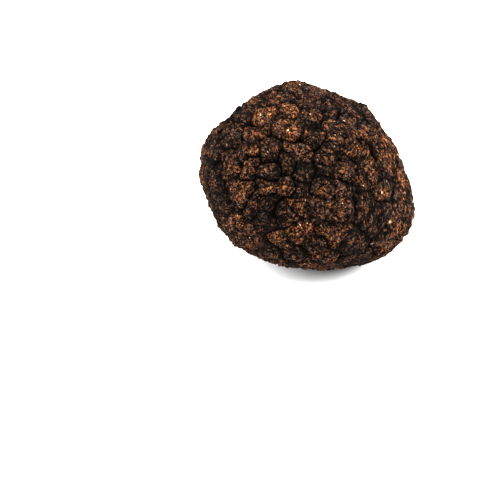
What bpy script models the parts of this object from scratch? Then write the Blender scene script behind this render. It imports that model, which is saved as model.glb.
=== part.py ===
"""A whole black truffle, resting on the small flat spot that it grew.

The truffle is one solid: a slumped, lumpy tuber whose rind is broken into low polygonal
plates with fissures between them. Lengths are in millimetres until the mesh is written,
which is in metres. +Z is up, -Y is the near side, +X is to the right of it, and the origin
is on the resting plane, under the middle of the truffle's box.
"""

import bmesh
import bpy
import numpy as np

METRES_PER_MM = 0.001
NODE = "truffle"

# The tuber: an ellipsoid that slumps towards +X, with swellings and hollows on it, some of
# them broad and some no wider than a plate or two.
HALF_WIDTH, HALF_DEPTH, HALF_HEIGHT = 29.7, 27.2, 24.5
SLUMP_DEG = 15.0
MIDDLE = np.array([0.2, -0.55, 23.3])  # the tuber's middle, over the resting plane
SWELLINGS = (  # bearing from the near side, rise, spread (degrees), height
    (74, -26, 27, 3.2),
    (-98, 12, 20, 0.9),
    (-150, 48, 24, 1.8),
    (98, 8, 26, -2.3),
    (-122, 38, 14, -2.3),
    (140, 42, 20, -0.6),
    (-20, -10, 36, 0.8),
    (170, -5, 40, 1.2),
    (83, 14, 7, -0.7),
    (130, 43, 5, 0.4),
    (153, 48, 6, 0.6),
    (178, 50, 6, -0.4),
    (-98, 37, 6, -1.2),
    (-95, 5, 8, -0.4),
    (-91, -1, 6, 0.8),
)
WAVE_HEIGHT, WAVE_LENGTH, WAVE_SEED = 0.45, 17.0, 3

# The near side is laid out as on a flat drawing: (across, up) from the middle, as it shows
# from an eye at EYE. The drawing leans back, so that up on it also leads to the far side.
LEAN_DEG = 35.0
EYE = (-18.4, -17.0, 366.7)  # across, up, towards the viewer

# Middles of the plates on the near side.
NEAR_PLATES = (
    (-8.0, 22.8), (-12.1, 17.9), (-6.1, 19.3), (-5.5, 14.0), (0.6, 21.2), (0.3, 17.1),
    (6.6, 19.8), (3.0, 24.5), (-2.6, 24.9), (-18.4, 18.2), (-14.3, 21.7), (-14.9, 12.4),
    (-21.7, 12.9), (-17.1, 8.3), (-21.5, 3.9), (-16.5, 2.8), (-25.9, 8.3), (-10.7, 8.0),
    (-2.2, 7.4), (-1.4, 1.7), (-11.0, 2.2), (-6.0, 3.4), (2.5, 11.6), (6.8, 10.6),
    (5.8, 6.6), (7.2, 14.8), (12.7, 15.7), (13.8, 7.7), (17.6, 13.2), (10.5, 2.2),
    (5.0, 2.4), (17.9, 1.9), (10.7, -3.3), (4.1, -2.5), (-1.4, -2.8), (-6.3, -2.2),
    (-11.0, -2.5), (-18.4, -3.9), (-14.6, -7.9), (-2.8, -7.2), (3.9, -7.2), (-6.1, -9.6),
    (-11.6, -11.5), (-9.9, -6.7), (10.5, -8.3), (15.7, -7.4), (15.7, -2.8), (22.3, -3.6),
    (22.6, -9.6), (18.7, -12.1), (23.4, 4.1), (22.3, 9.9), (27.0, -6.1), (12.4, 19.8),
    (-25.6, -1.0), (-28.2, 3.4), (26.4, 0.4),
)
PLATE_SPACING = 6.8  # between the middles of neighbours, where no plate was laid out
PLATE_JITTER = 1.3
PLATE_SEED = 11
PLATE_UNEVEN = 0.3  # how much plates differ in height
PLATE_BLEND = 0.5  # rounds a plate's corners, where three or more meet
FISSURE_DEPTH = 2.2  # of the deepest fissures, below the plates beside them
FISSURE_LEAST = 0.3  # depth of the shallowest, as a share of the deepest
FISSURE_WIDTH = 1.1  # how far in from a fissure its side has mostly levelled out
BORDER_WANDER, BORDER_WAVE, BORDER_SEED = 0.9, 7.0, 5

# Furrows wider than the fissures, as runs of points on the drawing of the near side.
FURROWS = (
    ((-15.8, 15.2), (-12.0, 13.0), (-8.8, 11.0), (-5.0, 10.4), (-1.0, 10.8), (1.4, 13.4),
     (3.8, 16.4), (8.0, 17.2), (9.8, 19.0), (10.2, 22.6)),
    ((14.4, 10.9), (17.8, 8.4), (19.8, 5.6)),
    ((8.6, 5.4), (12.6, 5.0), (14.4, 2.0), (14.2, -3.6)),
)
FURROW_DEPTH = 0.7
FURROW_WIDTH = 0.8

WART_RISE = 0.3  # how far the fine warts, which are too small to model, raise the rind

CUTS_ACROSS = 32  # quads along each edge of the cube that the rind's grid starts from


def toward(bearing_deg, rise_deg):
    """Unit vector at that bearing, counted from the near side towards +X, and that rise."""
    bearing, rise = np.radians(bearing_deg), np.radians(rise_deg)
    flat = np.cos(rise)
    return np.array([flat * np.sin(bearing), -flat * np.cos(bearing), np.sin(rise)])


def waves(points, length, seed, count=14):
    """A smooth field of about -1 to 1: plane waves of one length, in random directions."""
    random = np.random.default_rng(seed)
    headings = random.normal(size=(count, 3))
    headings /= np.linalg.norm(headings, axis=1, keepdims=True)
    phases = random.uniform(0, 2 * np.pi, count)
    turns = points @ headings.T * (2 * np.pi / length) + phases
    return np.sin(turns).sum(axis=1) / np.sqrt(count)


def tuber_radius(directions):
    """The slumped ellipsoid's radius, plus a Gaussian for each swelling and a long wave."""
    slump = np.radians(SLUMP_DEG)
    x = directions[:, 0] * np.cos(slump) - directions[:, 2] * np.sin(slump)
    z = directions[:, 0] * np.sin(slump) + directions[:, 2] * np.cos(slump)
    scaled = (x / HALF_WIDTH, directions[:, 1] / HALF_DEPTH, z / HALF_HEIGHT)
    radius = 1 / np.linalg.norm(scaled, axis=0)
    for bearing, rise, spread, height in SWELLINGS:
        cosine = np.clip(directions @ toward(bearing, rise), -1, 1)
        radius += height * np.exp(-((np.degrees(np.arccos(cosine)) / spread) ** 2))
    return radius + WAVE_HEIGHT * waves(directions * HALF_WIDTH, WAVE_LENGTH, WAVE_SEED)


def unit(vectors):
    return vectors / np.linalg.norm(vectors, axis=-1, keepdims=True)


def from_drawing(marks):
    """Where marks on the drawing of the near side lie on the tuber.

    A mark's line of sight runs from EYE through its place on the drawing. The depth at
    which that line meets the tuber is found by going back and forth between the two.
    """
    lean = np.radians(LEAN_DEG)
    axes = np.array(
        [
            (1, 0, 0),
            (0, np.sin(lean), np.cos(lean)),
            (0, -np.cos(lean), np.sin(lean)),
        ]
    )
    marks = np.column_stack([marks, np.zeros(len(marks))])
    sight = np.array(EYE) - marks
    depth = np.full(len(marks), HALF_HEIGHT / 2)
    for _ in range(12):
        seen = marks + sight * (depth / EYE[2])[:, None]
        radius = tuber_radius(unit(seen @ axes))
        aside = np.square(seen[:, :2]).sum(axis=1)
        depth = (depth + np.sqrt(np.maximum(radius**2 - aside, 1.0))) / 2
    directions = unit(seen @ axes)
    return directions * tuber_radius(directions)[:, None]


def plate_middles():
    """The laid-out plates, and a golden-angle spiral of others wherever none is near."""
    near = from_drawing(np.array(NEAR_PLATES))
    area = 4 * np.pi * HALF_DEPTH**2
    count = int(area / (PLATE_SPACING**2 * np.sqrt(3) / 2))
    steps = np.arange(count) + 0.5
    height = 1 - 2 * steps / count
    turn = np.pi * (3 - np.sqrt(5)) * steps
    round_about = np.sqrt(1 - height**2)
    spiral = np.column_stack([round_about * np.cos(turn), round_about * np.sin(turn), height])
    spiral += np.random.default_rng(PLATE_SEED).normal(size=spiral.shape) * (
        PLATE_JITTER / HALF_DEPTH / np.sqrt(3)
    )
    spiral = unit(spiral)
    others = spiral * tuber_radius(spiral)[:, None]
    gaps = np.linalg.norm(others[:, None] - near[None], axis=2).min(axis=1)
    return np.concatenate([near, others[gaps > 0.8 * PLATE_SPACING]])


def plate_relief(points):
    """Height of the plates over the tuber's surface, less the fissures between them.

    A point belongs to the nearest plate. Its distances to the borders with all the others
    are blended into a smooth least one, which sets how deep in a fissure it lies. Each pair
    of neighbours has a fissure of its own depth, and their heights flow together across it.
    """
    wander = [waves(points, BORDER_WAVE, BORDER_SEED + axis) for axis in range(3)]
    strayed = points + BORDER_WANDER * np.column_stack(wander)
    middles = plate_middles()
    random = np.random.default_rng(PLATE_SEED)
    uneven = random.uniform(-1, 1, len(middles)) * PLATE_UNEVEN
    depths = random.uniform(FISSURE_LEAST, 1, (len(middles), len(middles)))
    depths = np.triu(depths) + np.triu(depths, 1).T
    apart = np.linalg.norm(middles[:, None] - middles[None], axis=2)
    np.fill_diagonal(apart, 1.0)

    squares = np.square(strayed).sum(axis=1)[:, None] + np.square(middles).sum(axis=1)
    squares -= 2 * strayed @ middles.T
    own = squares.argmin(axis=1)
    border = (squares - squares.min(axis=1)[:, None]) / (2 * apart[own])
    level = (np.exp(-border) * uneven).sum(axis=1) / np.exp(-border).sum(axis=1)
    border[np.arange(len(points)), own] = np.inf
    share = np.exp(-border / PLATE_BLEND)
    inside = -PLATE_BLEND * np.log(share.sum(axis=1))
    depth = FISSURE_DEPTH * (share * depths[own]).sum(axis=1) / share.sum(axis=1)
    return level - depth * np.exp(-np.maximum(inside + PLATE_BLEND, 0) / FISSURE_WIDTH)


def furrow_depth(points):
    """A Gaussian groove along each furrow, by distance to the nearest of its stretches."""
    depth = np.zeros(len(points))
    for marks in FURROWS:
        run = from_drawing(np.array(marks))
        nearest = np.full(len(points), np.inf)
        for start, end in zip(run[:-1], run[1:]):
            along = end - start
            share = np.clip((points - start) @ along / (along @ along), 0, 1)
            gap = np.linalg.norm(points - start - share[:, None] * along, axis=1)
            nearest = np.minimum(nearest, gap)
        depth = np.maximum(depth, FURROW_DEPTH * np.exp(-((nearest / FURROW_WIDTH) ** 2)))
    return depth


def rind(directions):
    """Points of the rind: tuber, plates and furrows, pressed flat on the resting plane."""
    radius = tuber_radius(directions)
    points = directions * radius[:, None]
    radius += WART_RISE + plate_relief(points) - furrow_depth(points)
    points = directions * radius[:, None] + MIDDLE
    points[:, 2] = np.maximum(points[:, 2], 0)
    return points


def rind_mesh():
    """A cube cut into even quads, blown up to a sphere of directions and given the rind."""
    mesh = bpy.data.meshes.new(NODE)
    cube = bmesh.new()
    bmesh.ops.create_cube(cube, size=2)
    bmesh.ops.subdivide_edges(
        cube, edges=cube.edges[:], cuts=CUTS_ACROSS - 1, use_grid_fill=True
    )
    cube.to_mesh(mesh)
    cube.free()
    corners = np.empty(len(mesh.vertices) * 3)
    mesh.vertices.foreach_get("co", corners)
    directions = unit(np.tan(corners.reshape(-1, 3) * np.pi / 4))
    points = rind(directions) * METRES_PER_MM
    mesh.vertices.foreach_set("co", points.ravel())
    mesh.update()
    mesh.shade_smooth()
    return mesh


def rind_material():
    """Dry, black-brown warty rind: rough, with no gloss."""
    material = bpy.data.materials.new("black_rind")
    material.use_nodes = True
    shader = material.node_tree.nodes["Principled BSDF"]
    shader.inputs["Base Color"].default_value = (0.043, 0.024, 0.016, 1)
    shader.inputs["Roughness"].default_value = 0.8
    shader.inputs["Metallic"].default_value = 0.0
    return material


def clear_scene():
    for thing in list(bpy.data.objects):
        bpy.data.objects.remove(thing)


def build():
    clear_scene()
    mesh = rind_mesh()
    mesh.materials.append(rind_material())
    bpy.context.scene.collection.objects.link(bpy.data.objects.new(NODE, mesh))


build()
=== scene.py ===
import bpy
import numpy as np
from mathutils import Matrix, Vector


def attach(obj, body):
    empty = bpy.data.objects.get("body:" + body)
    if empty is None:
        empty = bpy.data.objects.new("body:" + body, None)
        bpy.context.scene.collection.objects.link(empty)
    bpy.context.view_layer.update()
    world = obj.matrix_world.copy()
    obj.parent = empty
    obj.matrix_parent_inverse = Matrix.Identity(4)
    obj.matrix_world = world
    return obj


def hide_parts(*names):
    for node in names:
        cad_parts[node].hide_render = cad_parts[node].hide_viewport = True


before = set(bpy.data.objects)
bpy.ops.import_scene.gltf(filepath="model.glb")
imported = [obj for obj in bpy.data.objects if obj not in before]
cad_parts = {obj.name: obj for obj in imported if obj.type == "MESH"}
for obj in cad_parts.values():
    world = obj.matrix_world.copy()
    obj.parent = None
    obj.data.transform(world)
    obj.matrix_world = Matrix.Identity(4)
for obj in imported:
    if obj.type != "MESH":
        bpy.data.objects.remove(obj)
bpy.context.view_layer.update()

# THE TRUFFLE'S BODY
# A black truffle is one tuber of firm flesh in a hard dry rind. It swelled between roots and
# stones, into a lumpy ellipsoid that leans to one side. Lengths in its form are millimetres,
# +Z is up, -Y is the near side, and it rests on z = 0.

HALF_WIDTH, HALF_DEPTH, HALF_HEIGHT = 29.7, 27.2, 24.5
SLUMP_DEG = 15.0  # how far the long axis slopes down towards +X
MIDDLE = np.array([0.2, -0.55, 23.3])
SWELLINGS = (  # bearing from the near side, rise, spread (degrees), height
    (74, -26, 27, 3.2),
    (-98, 12, 20, 0.9),
    (-150, 48, 24, 1.8),
    (98, 8, 26, -2.3),
    (-122, 38, 14, -2.3),
    (140, 42, 20, -0.6),
    (-20, -10, 36, 0.8),
    (170, -5, 40, 1.2),
    (83, 14, 7, -0.7),
    (130, 43, 5, 0.4),
    (153, 48, 6, 0.6),
    (178, 50, 6, -0.4),
    (-98, 37, 6, -1.2),
    (-95, 5, 8, -0.4),
    (-91, -1, 6, 0.8),
)
WAVE_HEIGHT, WAVE_LENGTH, WAVE_SEED = 0.45, 17.0, 3


def unit(vectors):
    """Vectors divided by their own lengths."""
    return vectors / np.linalg.norm(vectors, axis=-1, keepdims=True)


def toward(bearing_deg, rise_deg):
    """Unit vector at that bearing, counted from the near side towards +X, and that rise."""
    bearing, rise = np.radians(bearing_deg), np.radians(rise_deg)
    flat = np.cos(rise)
    return np.array([flat * np.sin(bearing), -flat * np.cos(bearing), np.sin(rise)])


def waves(points, length, seed, count=14):
    """The sum of sin(heading . point * 2 pi / length + phase) over random headings and
    phases, divided by the square root of their count."""
    random = np.random.default_rng(seed)
    headings = unit(random.normal(size=(count, 3)))
    phases = random.uniform(0, 2 * np.pi, count)
    turns = points @ headings.T * (2 * np.pi / length) + phases
    return np.sin(turns).sum(axis=1) / np.sqrt(count)


def tuber_radius(directions):
    """1 / |(x / a, y / b, z / c)| in the leaning axes, plus height * exp(-(angle / spread)^2)
    for each swelling, plus a long wave."""
    slump = np.radians(SLUMP_DEG)
    x = directions[:, 0] * np.cos(slump) - directions[:, 2] * np.sin(slump)
    z = directions[:, 0] * np.sin(slump) + directions[:, 2] * np.cos(slump)
    scaled = (x / HALF_WIDTH, directions[:, 1] / HALF_DEPTH, z / HALF_HEIGHT)
    radius = 1 / np.linalg.norm(scaled, axis=0)
    for bearing, rise, spread, height in SWELLINGS:
        cosine = np.clip(directions @ toward(bearing, rise), -1, 1)
        radius += height * np.exp(-((np.degrees(np.arccos(cosine)) / spread) ** 2))
    return radius + WAVE_HEIGHT * waves(directions * HALF_WIDTH, WAVE_LENGTH, WAVE_SEED)


# THE PLATES
# The rind is a hard skin that could not stretch as the tuber swelled, so it cracked into low
# polygonal plates of 5 to 8 mm, with fissures between them and a few wider furrows.

# Plates on the near side are listed as (across, up, how rusty), and furrows as
# (across, up), on a plane through the tuber's middle that leans back by LEAN_DEG. Each mark
# stands for the place on the rind that covers it, seen from EYE. A spiral fills the rest.
LEAN_DEG = 35.0
EYE = (-18.4, -17.0, 366.7)  # across, up, and out from the plane
SIGHT_STEPS = 12  # more than enough for depth and radius to settle
# The rust shares are mostly each plate's own tone, and partly painted light: plates towards +X
# are rustier, and so lighter, as painted light, and some on the left below the middle are less
# rusty, and so darker, as painted shade.
NEAR_PLATES = (
    (-8.0, 22.8, 0.2), (-12.1, 17.9, 0.9), (-6.1, 19.3, 0.8), (-5.5, 14.0, 0.9),
    (0.6, 21.2, 0.3), (0.3, 17.1, 0.3), (6.6, 19.8, 0.1), (3.0, 24.5, 0.3),
    (-2.6, 24.9, 0.2), (-18.4, 18.2, 0.1), (-14.3, 21.7, 0.1), (-14.9, 12.4, 0.7),
    (-21.7, 12.9, 0.3), (-17.1, 8.3, 0.7), (-21.5, 3.9, 0.6), (-16.5, 2.8, 0.6),
    (-25.9, 8.3, 0.3), (-10.7, 8.0, 0.4), (-2.2, 7.4, 0.5), (-1.4, 1.7, -0.3),
    (-11.0, 2.2, 0.2), (-6.0, 3.4, 0.0), (2.5, 11.6, 0.25), (6.8, 10.6, 0.6),
    (5.8, 6.6, 0.2), (7.2, 14.8, 0.4), (12.7, 15.7, 0.1), (13.8, 7.7, 0.9),
    (17.6, 13.2, 0.4), (10.5, 2.2, 0.5), (5.0, 2.4, -0.3), (17.9, 1.9, 0.6),
    (10.7, -3.3, 0.2), (4.1, -2.5, 0.2), (-1.4, -2.8, 0.2), (-6.3, -2.2, 0.2),
    (-11.0, -2.5, 0.6), (-18.4, -3.9, 0.4), (-14.6, -7.9, 0.0), (-2.8, -7.2, 0.9),
    (3.9, -7.2, 0.4), (-6.1, -9.6, 0.3), (-11.6, -11.5, -0.1), (-9.9, -6.7, -0.4),
    (10.5, -8.3, 0.3), (15.7, -7.4, 0.2), (15.7, -2.8, 0.3), (22.3, -3.6, 0.5),
    (22.6, -9.6, 0.3), (18.7, -12.1, 0.1), (23.4, 4.1, 0.8), (22.3, 9.9, 0.7),
    (27.0, -6.1, 0.3), (12.4, 19.8, 0.2), (-25.6, -1.0, 0.0), (-28.2, 3.4, 0.0),
    (26.4, 0.4, 0.8),
)
FURROWS = (
    ((-15.8, 15.2), (-12.0, 13.0), (-8.8, 11.0), (-5.0, 10.4), (-1.0, 10.8), (1.4, 13.4),
     (3.8, 16.4), (8.0, 17.2), (9.8, 19.0), (10.2, 22.6)),
    ((14.4, 10.9), (17.8, 8.4), (19.8, 5.6)),
    ((8.6, 5.4), (12.6, 5.0), (14.4, 2.0), (14.2, -3.6)),
)
FURROW_DEPTH, FURROW_WIDTH = 0.7, 0.8
PLATE_SPACING, PLATE_JITTER, PLATE_SEED = 6.8, 1.3, 11
PLATE_ROOM = 0.8  # spacings that a spiral plate keeps from the laid-out ones
PLATE_UNEVEN = 0.3  # how far a plate stands out or lies low
PLATE_BLEND = 0.5  # how rounded the corners of a plate are
RUST_RANGE = (-0.2, 0.8)  # how rusty a spiral plate is
FISSURE_DEPTH, FISSURE_WIDTH = 1.4, 0.68
FISSURE_LEAST, FISSURE_POWER = 0.3, 1.6  # a higher power leaves fewer deep ones
SIDE_SHARE, SIDE_REACH = 0.22, 24.0  # fissures are deeper towards -X, shallower towards +X
BORDER_WANDER, BORDER_WAVE, BORDER_SEED = 0.9, 7.0, 5


def onto_tuber(marks):
    """Where marks on the plane stand on the tuber: mark + (eye - mark) * depth / the eye's
    distance, with depth = sqrt(radius^2 - aside^2) found by going back and forth."""
    lean = np.radians(LEAN_DEG)
    axes = np.array(
        [
            (1, 0, 0),
            (0, np.sin(lean), np.cos(lean)),
            (0, -np.cos(lean), np.sin(lean)),
        ]
    )
    marks = np.column_stack([marks, np.zeros(len(marks))])
    sight = np.array(EYE) - marks
    depth = np.full(len(marks), HALF_HEIGHT / 2)
    for _ in range(SIGHT_STEPS):
        seen = marks + sight * (depth / EYE[2])[:, None]
        radius = tuber_radius(unit(seen @ axes))
        aside = np.square(seen[:, :2]).sum(axis=1)
        depth = (depth + np.sqrt(np.maximum(radius**2 - aside, 1.0))) / 2
    directions = unit(seen @ axes)
    return directions * tuber_radius(directions)[:, None]


def plate_middles():
    """The laid-out plates, then a golden-angle spiral of others wherever none is near:
    height = 1 - 2 t, turn = golden angle * step, each jittered."""
    near = onto_tuber(np.array(NEAR_PLATES)[:, :2])
    count = int(4 * np.pi * HALF_DEPTH**2 / (PLATE_SPACING**2 * np.sqrt(3) / 2))
    steps = np.arange(count) + 0.5
    height = 1 - 2 * steps / count
    turn = np.pi * (3 - np.sqrt(5)) * steps
    round_about = np.sqrt(1 - height**2)
    spiral = np.column_stack([round_about * np.cos(turn), round_about * np.sin(turn), height])
    jitter = np.random.default_rng(PLATE_SEED).normal(size=spiral.shape)
    spiral = unit(spiral + jitter * (PLATE_JITTER / HALF_DEPTH / np.sqrt(3)))
    others = spiral * tuber_radius(spiral)[:, None]
    gaps = np.linalg.norm(others[:, None] - near[None], axis=2).min(axis=1)
    return np.concatenate([near, others[gaps > PLATE_ROOM * PLATE_SPACING]])


# Of each plate its middle, how high it stands and how rusty it is. Of each two plates how far
# apart they are, and how deep the fissure between them is as a share, the same both ways.
MIDDLES = plate_middles()
plate_random = np.random.default_rng(PLATE_SEED)
UNEVEN = plate_random.uniform(-1, 1, len(MIDDLES)) * PLATE_UNEVEN
DEPTHS = plate_random.uniform(FISSURE_LEAST, 1, (len(MIDDLES), len(MIDDLES)))
DEPTHS = (np.triu(DEPTHS) + np.triu(DEPTHS, 1).T) ** FISSURE_POWER
DEPTHS *= 1 - SIDE_SHARE * np.tanh((MIDDLES[:, :1] + MIDDLES[:, 0]) / SIDE_REACH)
RUST = plate_random.uniform(*RUST_RANGE, len(MIDDLES))
RUST[: len(NEAR_PLATES)] = np.array(NEAR_PLATES)[:, 2]
APART = np.linalg.norm(MIDDLES[:, None] - MIDDLES[None], axis=2)
np.fill_diagonal(APART, 1.0)


def plate_fields(points):
    """For each point, moved by a wandering wave: its own plate, the nearest; how far inside
    the plate it lies, as blend * (1 - log of the sum of exp(-border / blend)), with border =
    (far^2 - near^2) / (2 * apart) for each other plate; the least border itself; the depth
    of the fissure there; and the plates' level, flowing on by exp(-border)."""
    wander = [waves(points, BORDER_WAVE, BORDER_SEED + axis) for axis in range(3)]
    strayed = points + BORDER_WANDER * np.column_stack(wander)
    squares = np.square(strayed).sum(axis=1)[:, None] + np.square(MIDDLES).sum(axis=1)
    squares -= 2 * strayed @ MIDDLES.T
    own = squares.argmin(axis=1)
    border = (squares - squares.min(axis=1)[:, None]) / (2 * APART[own])
    flow = np.exp(-border)
    level = flow @ UNEVEN / flow.sum(axis=1)
    border[np.arange(len(points)), own] = np.inf
    share = np.exp(-border / PLATE_BLEND)
    inside = PLATE_BLEND - PLATE_BLEND * np.log(share.sum(axis=1))
    depth = (share * DEPTHS[own]).sum(axis=1) / share.sum(axis=1)
    return own, np.maximum(inside, 0), border.min(axis=1), depth, level


def furrow_shape(points):
    """exp(-(gap / width)^2), with gap the distance to the nearest stretch of any furrow."""
    nearest = np.full(len(points), np.inf)
    for marks in FURROWS:
        run = onto_tuber(np.array(marks))
        for start, end in zip(run[:-1], run[1:]):
            along = end - start
            share = np.clip((points - start) @ along / (along @ along), 0, 1)
            gap = np.linalg.norm(points - start - share[:, None] * along, axis=1)
            nearest = np.minimum(nearest, gap)
    return np.exp(-((nearest / FURROW_WIDTH) ** 2))


# THE WARTS
# Every plate is rough with hard warts of the same skin, a little over a millimetre across and
# drawn out one way into short ridges, as on dry bark. Each plate has its own grain, which
# stops at a fissure, and on the +X flank the tuber's growth pulled it downhill.

WART_SIZE, WART_HEIGHT = 1.25, 0.66  # across the grain, and from groove to top
WART_STRETCH = 1.4  # how much longer than wide
WART_TALL = (0.6, 1.0)  # range of the warts' own heights, as shares
WART_TOP, WART_FALL = 1.2, 0.6  # share at the knob, and what it loses one wart size away
WART_GROOVE = 0.22  # round each wart, as narrow as the rind's mesh can hold
WART_SEED, WART_TABLE = 23, 32
BEND, BEND_LENGTH = 0.35, 4.0  # how far the grain strays from straight
FLANK_START, FLANK_RUN = 7, 12  # how far out the flank begins, and how soon it is full
FLANK_ALIGN, FLANK_STRETCH = 0.85, 0.8  # how far the grain turns there, and draws out more
PLATE_SHIFT = np.array([7.1, 3.3, 5.7])  # gives each plate another part of the pattern


def grain_frame(points, own):
    """Points in their own plate's axes: along its grain, across it and out of it. The grain
    lies at a random angle in the plate, or downhill on the flank, and bends with a wave. The
    along axis is shortened by the stretch."""
    out = unit(MIDDLES)
    level = unit(np.cross(out, (0.3, 0.2, 1.0)))
    downhill = np.cross(out, level)
    angle = np.random.default_rng(WART_SEED).uniform(0, np.pi, len(MIDDLES))[:, None]
    flank = np.clip((MIDDLES[:, :1] - FLANK_START) / FLANK_RUN, 0, 1)
    angle += FLANK_ALIGN * flank * (np.pi / 2 - angle)
    stretch = WART_STRETCH * (1 + FLANK_STRETCH * flank[own, 0])
    along = level * np.cos(angle) + downhill * np.sin(angle)
    across = np.cross(out, along)
    bend = [waves(points, BEND_LENGTH, WART_SEED + axis) for axis in range(3)]
    bent = points - MIDDLES[own] + BEND * np.column_stack(bend)
    grain = np.column_stack(
        [
            (bent * along[own]).sum(axis=1) / stretch,
            (bent * across[own]).sum(axis=1),
            (bent * out[own]).sum(axis=1),
        ]
    )
    return grain + own[:, None] * PLATE_SHIFT


def warts(grain):
    """Wart height and distance to the wart's border. There is one random knob in each cell
    of WART_SIZE. Border = (next nearest knob - nearest) / 2, and height = the knob's own
    share * (1 - exp(-border / groove)) * (top - fall * nearest)."""
    random = np.random.default_rng(WART_SEED)
    knobs = random.random((WART_TABLE,) * 3 + (3,))
    tall = random.uniform(*WART_TALL, (WART_TABLE,) * 3)
    cell = np.floor(grain / WART_SIZE).astype(int)
    inside = grain / WART_SIZE - cell
    nearest = np.full(len(grain), np.inf)
    second = np.full(len(grain), np.inf)
    share = np.ones(len(grain))
    for step in np.ndindex(3, 3, 3):
        step = np.array(step) - 1
        spot = tuple(((cell + step) % WART_TABLE).T)
        gap = np.linalg.norm(knobs[spot] + step - inside, axis=1)
        closer = gap < nearest
        second = np.where(closer, nearest, np.minimum(second, gap))
        share = np.where(closer, tall[spot], share)
        nearest = np.where(closer, gap, nearest)
    border = (second - nearest) * WART_SIZE / 2
    stand = 1 - np.exp(-border / WART_GROOVE)
    return share * stand * (WART_TOP - WART_FALL * nearest), border


# THE RIND
# The rind is one closed skin, hard, dry and dead matt, that grew with the tuber. It is built
# as a sphere of six square patches, each a grid of direction = unit(outward + tan(u) * across
# + tan(v) * up), pushed out by the radius.

PATCHES = (
    ((1, 0, 0), (0, 1, 0), (0, 0, 1)),
    ((-1, 0, 0), (0, -1, 0), (0, 0, 1)),
    ((0, 1, 0), (-1, 0, 0), (0, 0, 1)),
    ((0, -1, 0), (1, 0, 0), (0, 0, 1)),
    ((0, 0, 1), (1, 0, 0), (0, 1, 0)),
    ((0, 0, -1), (-1, 0, 0), (0, 1, 0)),
)
QUADS_ACROSS = 127  # on each patch, of 0.36 mm each, for just under 200,000 triangles
CUT_DEPTH, CUT_WIDTH = 1.1, 0.3  # the narrow bottom of a fissure or furrow
CUT_BY_FISSURE, CUT_BY_FURROW = 0.9, 0.7  # how strongly each cuts
WART_LEVEL = 0.73  # the wart height that lies level with the plate
WART_LOW, WART_EDGE = 0.3, 0.6  # share of a wart left at a fissure, and how far in it is whole
LUMP_HEIGHT, LUMP_LENGTH, LUMP_WAVES, LUMP_SEED = 0.2, 2.6, 24, 41
LUMP_LEVEL = 0.5  # most of a lump lies under the plate's level
FISSURE_SHADE_REACH, FISSURE_SHADE_MORE = 0.15, 0.7  # how far the black painted as shade reaches from a fissure's middle, and more by how strongly it cuts
CROWN_WIDTH, CROWN_LOST = 1.5, 0.7  # how far in a plate's crown is, and its loss at a furrow
FIELDS = ("wart", "crown", "gap", "beside", "rust")


def patch(outward, across, up):
    """The rind's points over one patch of u and v, and the fields that colour them: wart
    height, how far up on the plate's crown, distance to a fissure in reaches of the black painted
    there as shade, distance to the wart's border, and the plate's rust. Radius = the tuber's +
    the plate's level - fissure * exp(-inside / width) - cut * exp(-edge / width) - furrow + wart
    + lumps."""
    run = np.tan(np.linspace(-np.pi / 4, np.pi / 4, QUADS_ACROSS + 1))
    u, v = np.meshgrid(run, run, indexing="ij")
    u, v = u.reshape(-1, 1), v.reshape(-1, 1)
    directions = unit(np.array(outward) + u * np.array(across) + v * np.array(up))
    radius = tuber_radius(directions)
    points = directions * radius[:, None]
    own, inside, edge, depth, level = plate_fields(points)
    furrow = furrow_shape(points)
    grain = grain_frame(points, own)
    wart, beside = warts(grain)
    whole = WART_LOW + (1 - WART_LOW) * np.clip(inside / WART_EDGE, 0, 1)
    strong = CUT_BY_FISSURE * depth + CUT_BY_FURROW * furrow
    lumps = np.tanh(waves(points, LUMP_LENGTH, LUMP_SEED, LUMP_WAVES)) - LUMP_LEVEL
    radius += level - FISSURE_DEPTH * depth * np.exp(-inside / FISSURE_WIDTH)
    radius -= CUT_DEPTH * strong * np.exp(-edge / CUT_WIDTH)
    radius -= FURROW_DEPTH * furrow
    radius += WART_HEIGHT * (wart - WART_LEVEL) * whole
    radius += LUMP_HEIGHT * lumps
    points = directions * radius[:, None] + MIDDLE
    points[:, 2] = np.maximum(points[:, 2], 0)
    crown = (1 - np.exp(-inside / CROWN_WIDTH)) * (1 - CROWN_LOST * furrow)
    # Where the cut is deeper, the black painted as shade reaches further.
    gap = edge / (FISSURE_SHADE_REACH + FISSURE_SHADE_MORE * strong)
    return points, directions, np.column_stack([wart, crown, gap, beside, RUST[own]]), grain


def rind_mesh():
    """Six patches, in metres, with the points that two or three of them share, to within a
    millionth, made into one."""
    points, directions, fields, grain = map(np.concatenate, zip(*(patch(*p) for p in PATCHES)))
    rounded = np.round(directions * 1e6).astype(int)
    _, first, place = np.unique(rounded, axis=0, return_index=True, return_inverse=True)
    place = place.reshape(len(PATCHES), QUADS_ACROSS + 1, QUADS_ACROSS + 1)
    corners = (place[:, :-1, :-1], place[:, 1:, :-1], place[:, 1:, 1:], place[:, :-1, 1:])
    quads = np.stack(corners, axis=-1).reshape(-1, 4)
    mesh = bpy.data.meshes.new("truffle_rind")
    mesh.from_pydata((points[first] / 1000).tolist(), [], quads.tolist())
    for name, values in zip(FIELDS, fields[first].T):
        mesh.attributes.new(name, "FLOAT", "POINT").data.foreach_set("value", values)
    grain_values = (grain[first] / 1000).ravel()
    mesh.attributes.new("grain", "FLOAT_VECTOR", "POINT").data.foreach_set("vector", grain_values)
    mesh.shade_smooth()
    return mesh


rind = bpy.data.objects.new("truffle_rind", rind_mesh())
bpy.context.scene.collection.objects.link(rind)
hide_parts("truffle")
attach(rind, "root")

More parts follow.
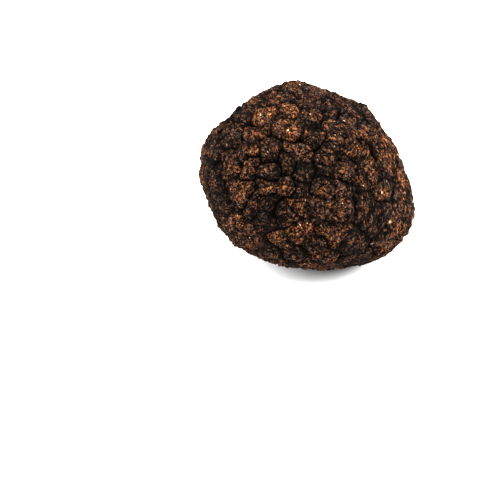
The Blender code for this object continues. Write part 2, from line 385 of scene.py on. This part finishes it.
# Sizes of the rind's pattern, in metres. Real grains and grit are a tenth of a millimetre or
# less, and are drawn as coarse as they need to be to show.
GRAIN_SIZE, GRIT_SIZE = 0.0003, 0.0004
CLUMP_SIZE, BLOTCH_SIZE = 0.0024, 0.007  # patches two warts wide, and a whole plate wide
GRAIN_ALONG = 1.1  # how much less the grains are drawn out than the warts
GRAIN_RELIEF = 0.0004  # how far the grains stand out
GLINT_ABOVE, PAINTED_GLINT_COLOUR = 0.998, "#dabf9c"  # one grain in 500 on worn places is painted pale, as a glint
# Near black painted as shade in the fissures.
FISSURE_SHADE = "#040302"
CHARCOAL = (
    (0.0, "#030302"),
    (0.2, "#0b0706"),
    (0.45, "#3a312c"),
    (0.7, "#5d4f45"),
    (0.87, "#7f6c5e"),
    (1.0, "#a8937d"),
)
RUST_BROWN = (
    (0.0, "#050301"),
    (0.2, "#150904"),
    (0.45, "#552f18"),
    (0.7, "#7f4e29"),
    (0.87, "#9f6e44"),
    (1.0, "#bf9b72"),
)
# Blends of the fields. Each is its start plus the sum of weight * field, where a weight may be
# a field too. Some are then carried over from one range to another and kept inside it.
BLENDS = (
    # How worn the rind is around here, from black and whole to bare.
    (
        "worn",
        -1.8,
        (("clump", 2.1), ("blotch", 1.0), ("rust", 0.5), ("crown", 0.5), ("wart", 0.4)),
        (0, 1, 0, 1),
    ),
    # How far this grain is rust and not charcoal.
    ("rusty", -0.5, (("worn", 0.9), ("Green", 1.2)), (0, 1, 0, 1)),
    # How light this grain is, from black to pale. Worn places are the more speckled. The pits
    # between the warts are painted dark as shade, and the crowns of plates and the tops of warts
    # a little lighter, as painted light.
    ("speckle", -0.85, (("Red", 0.8), ("grit", 0.9)), None),
    ("spread", 0.32, (("worn", 0.75),), None),
    ("pit_shade", -0.22, (("beside", 1.0), ("grit", 0.5)), (0, 0.22, -0.2, 0)),
    (
        "light",
        0.125,
        (("speckle", "spread"), ("worn", 0.1), ("wart", 0.06), ("crown", 0.12), ("pit_shade", 1.0)),
        None,
    ),
    # Away from the black painted as shade in a fissure, whose edge the grains make ragged.
    ("beyond_fissure_shade", 0, (("gap", 1.0), ("Blue", 0.2), ("grit", 0.3)), (0.5, 0.68, 0, 1)),
    # How far the surface stands out, grain by grain.
    ("relief", 0, (("Distance", -0.6), ("grit", 0.7)), None),
)


def linear(hex_colour):
    """sRGB hex to linear: c / 12.92 up to 0.04045, else ((c + 0.055) / 1.055)^2.4."""
    parts = np.array([int(hex_colour[i : i + 2], 16) for i in (1, 3, 5)]) / 255
    curved = np.where(parts <= 0.04045, parts / 12.92, ((parts + 0.055) / 1.055) ** 2.4)
    return (*curved.tolist(), 1.0)


def add(tree, kind, settings={}, inputs={}, stops=()):
    """Adds a node with its settings, its input values or links, and its colour stops."""
    made = tree.nodes.new(kind)
    for name, value in settings.items():
        setattr(made, name, value)
    for name, value in inputs.items():
        if isinstance(value, bpy.types.NodeSocket):
            tree.links.new(value, made.inputs[name])
        else:
            made.inputs[name].default_value = value
    for index, (position, colour) in enumerate(stops):
        if index > 1:
            made.color_ramp.elements.new(position)
        made.color_ramp.elements[index].position = position
        made.color_ramp.elements[index].color = linear(colour)
    return made


# Dry truffle rind (peridium), as it grew and dried: charcoal made of fine grains, painted black
# as shade in the fissures and darker as shade in the pits between warts, and worn to rust on the
# crowns of some plates, where a glint is painted pale here and there. It is dead matt, with next
# to no gloss.
material = bpy.data.materials.new("dry_truffle_rind")
material.use_nodes = True
tree = material.node_tree
shader = tree.nodes["Principled BSDF"]
place = add(tree, "ShaderNodeTexCoord").outputs["Object"]
grain = add(tree, "ShaderNodeAttribute", {"attribute_name": "grain"}).outputs["Vector"]
grain = add(
    tree,
    "ShaderNodeVectorMath",
    {"operation": "MULTIPLY"},
    {0: grain, 1: (GRAIN_ALONG, 1.0, 1.0)},
).outputs[0]
cells = add(tree, "ShaderNodeTexVoronoi", {}, {"Vector": grain, "Scale": 1 / GRAIN_SIZE}).outputs
chance = add(tree, "ShaderNodeSeparateColor", {}, {"Color": cells["Color"]}).outputs
field = {"Distance": cells["Distance"]}
field.update((name, chance[name]) for name in ("Red", "Green", "Blue"))
for name in FIELDS:
    field[name] = add(tree, "ShaderNodeAttribute", {"attribute_name": name}).outputs["Fac"]
for name, size, detail in (
    ("grit", GRIT_SIZE, 1.0),
    ("clump", CLUMP_SIZE, 2.0),
    ("blotch", BLOTCH_SIZE, 1.0),
):
    field[name] = add(
        tree,
        "ShaderNodeTexNoise",
        {},
        {"Vector": place, "Scale": 1 / size, "Detail": detail, "Roughness": 0.6},
    ).outputs["Fac"]
for name, total, parts, ranges in BLENDS:
    for part, weight in parts:
        total = add(
            tree,
            "ShaderNodeMath",
            {"operation": "MULTIPLY_ADD"},
            {0: field[part], 1: field.get(weight, weight), 2: total},
        ).outputs[0]
    if ranges:
        limits = dict(zip(("From Min", "From Max", "To Min", "To Max"), ranges))
        total = add(tree, "ShaderNodeMapRange", {}, {"Value": total, **limits}).outputs["Result"]
    field[name] = total

charcoal, rust_brown = (
    add(tree, "ShaderNodeValToRGB", {}, {"Fac": field["light"]}, stops).outputs["Color"]
    for stops in (CHARCOAL, RUST_BROWN)
)
# Painted glints: one grain in 500 on worn places is painted pale, as a glint.
glint_mask = add(
    tree, "ShaderNodeMath", {"operation": "GREATER_THAN"}, {0: field["Blue"], 1: GLINT_ABOVE}
).outputs[0]
glint_mask = add(
    tree, "ShaderNodeMath", {"operation": "MULTIPLY"}, {0: glint_mask, 1: field["worn"]}
).outputs[0]
mix = "ShaderNodeMix", {"data_type": "RGBA"}
colour = add(tree, *mix, {0: field["rusty"], 6: charcoal, 7: rust_brown}).outputs[2]
colour = add(tree, *mix, {0: glint_mask, 6: colour, 7: linear(PAINTED_GLINT_COLOUR)}).outputs[2]
# Painted shade: the fissures are painted near black.
colour = add(tree, *mix, {0: field["beyond_fissure_shade"], 6: linear(FISSURE_SHADE), 7: colour}).outputs[2]
tree.links.new(colour, shader.inputs["Base Color"])
bump = add(
    tree,
    "ShaderNodeBump",
    {},
    {"Strength": 1.0, "Distance": GRAIN_RELIEF, "Height": field["relief"]},
)
tree.links.new(bump.outputs["Normal"], shader.inputs["Normal"])
shader.inputs["Roughness"].default_value = 0.9
shader.inputs["IOR"].default_value = 1.45
shader.inputs["Specular IOR Level"].default_value = 0.02
rind.data.materials.append(material)

# THE STUDIO
# A sheet of matt white paper to stand it on, a large soft light overhead and a smaller one
# at each side, in a bright white room.

FLOOR_CORNERS = [(-3, -3, 0), (3, -3, 0), (3, 3, 0), (-3, 3, 0)]
ROOM_LIGHT = 0.82
AIM = Vector((0, 0, 0.023))  # the truffle's middle
SOFT_LIGHTS = (  # name, place, size in metres, power in watts
    ("overhead", (-0.05, 0.1, 0.9), 1.5, 18),
    ("key", (0.52, -0.04, 0.42), 0.4, 16),
    ("fill", (-0.52, -0.04, 0.36), 0.5, 11),
)

floor_mesh = bpy.data.meshes.new("floor")
floor_mesh.from_pydata(FLOOR_CORNERS, [], [(0, 1, 2, 3)])
floor = bpy.data.objects.new("floor", floor_mesh)
bpy.context.scene.collection.objects.link(floor)

# White paper, matt and even, so that only the soft shadow shows on it.
paper = bpy.data.materials.new("white_paper_sweep")
paper.use_nodes = True
paper_shader = paper.node_tree.nodes["Principled BSDF"]
paper_shader.inputs["Base Color"].default_value = linear("#f6f6f6")
paper_shader.inputs["Roughness"].default_value = 0.9
paper_shader.inputs["Specular IOR Level"].default_value = 0.0
floor_mesh.materials.append(paper)

world = bpy.data.worlds.new("studio")
bpy.context.scene.world = world
world.use_nodes = True
world.node_tree.nodes["Background"].inputs["Color"].default_value = (1, 1, 1, 1)
world.node_tree.nodes["Background"].inputs["Strength"].default_value = ROOM_LIGHT

for name, spot, size, power in SOFT_LIGHTS:
    lamp = bpy.data.lights.new(name, "AREA")
    lamp.size, lamp.energy = size, power
    light = bpy.data.objects.new(name, lamp)
    light.location = spot
    light.rotation_euler = (AIM - light.location).to_track_quat("-Z", "Y").to_euler()
    bpy.context.scene.collection.objects.link(light)

# THE CAMERA
# A long lens at EYE, level from side to side, that looks down by LEAN_DEG. The truffle stands
# high and to the right in its view.

camera = bpy.data.objects.new("camera", bpy.data.cameras.new("camera"))
camera.data.lens, camera.data.sensor_width = 100, 36
lean = np.radians(LEAN_DEG)
ahead = np.array([0, np.cos(lean), -np.sin(lean)])
upward = np.array([0, np.sin(lean), np.cos(lean)])
eye = MIDDLE + np.array([EYE[0], 0, 0]) + EYE[1] * upward - EYE[2] * ahead
camera.location = eye / 1000
camera.rotation_euler = (np.pi / 2 - lean, 0, 0)
bpy.context.scene.collection.objects.link(camera)
bpy.context.scene.camera = camera
bpy.context.scene.view_settings.view_transform = "Standard"
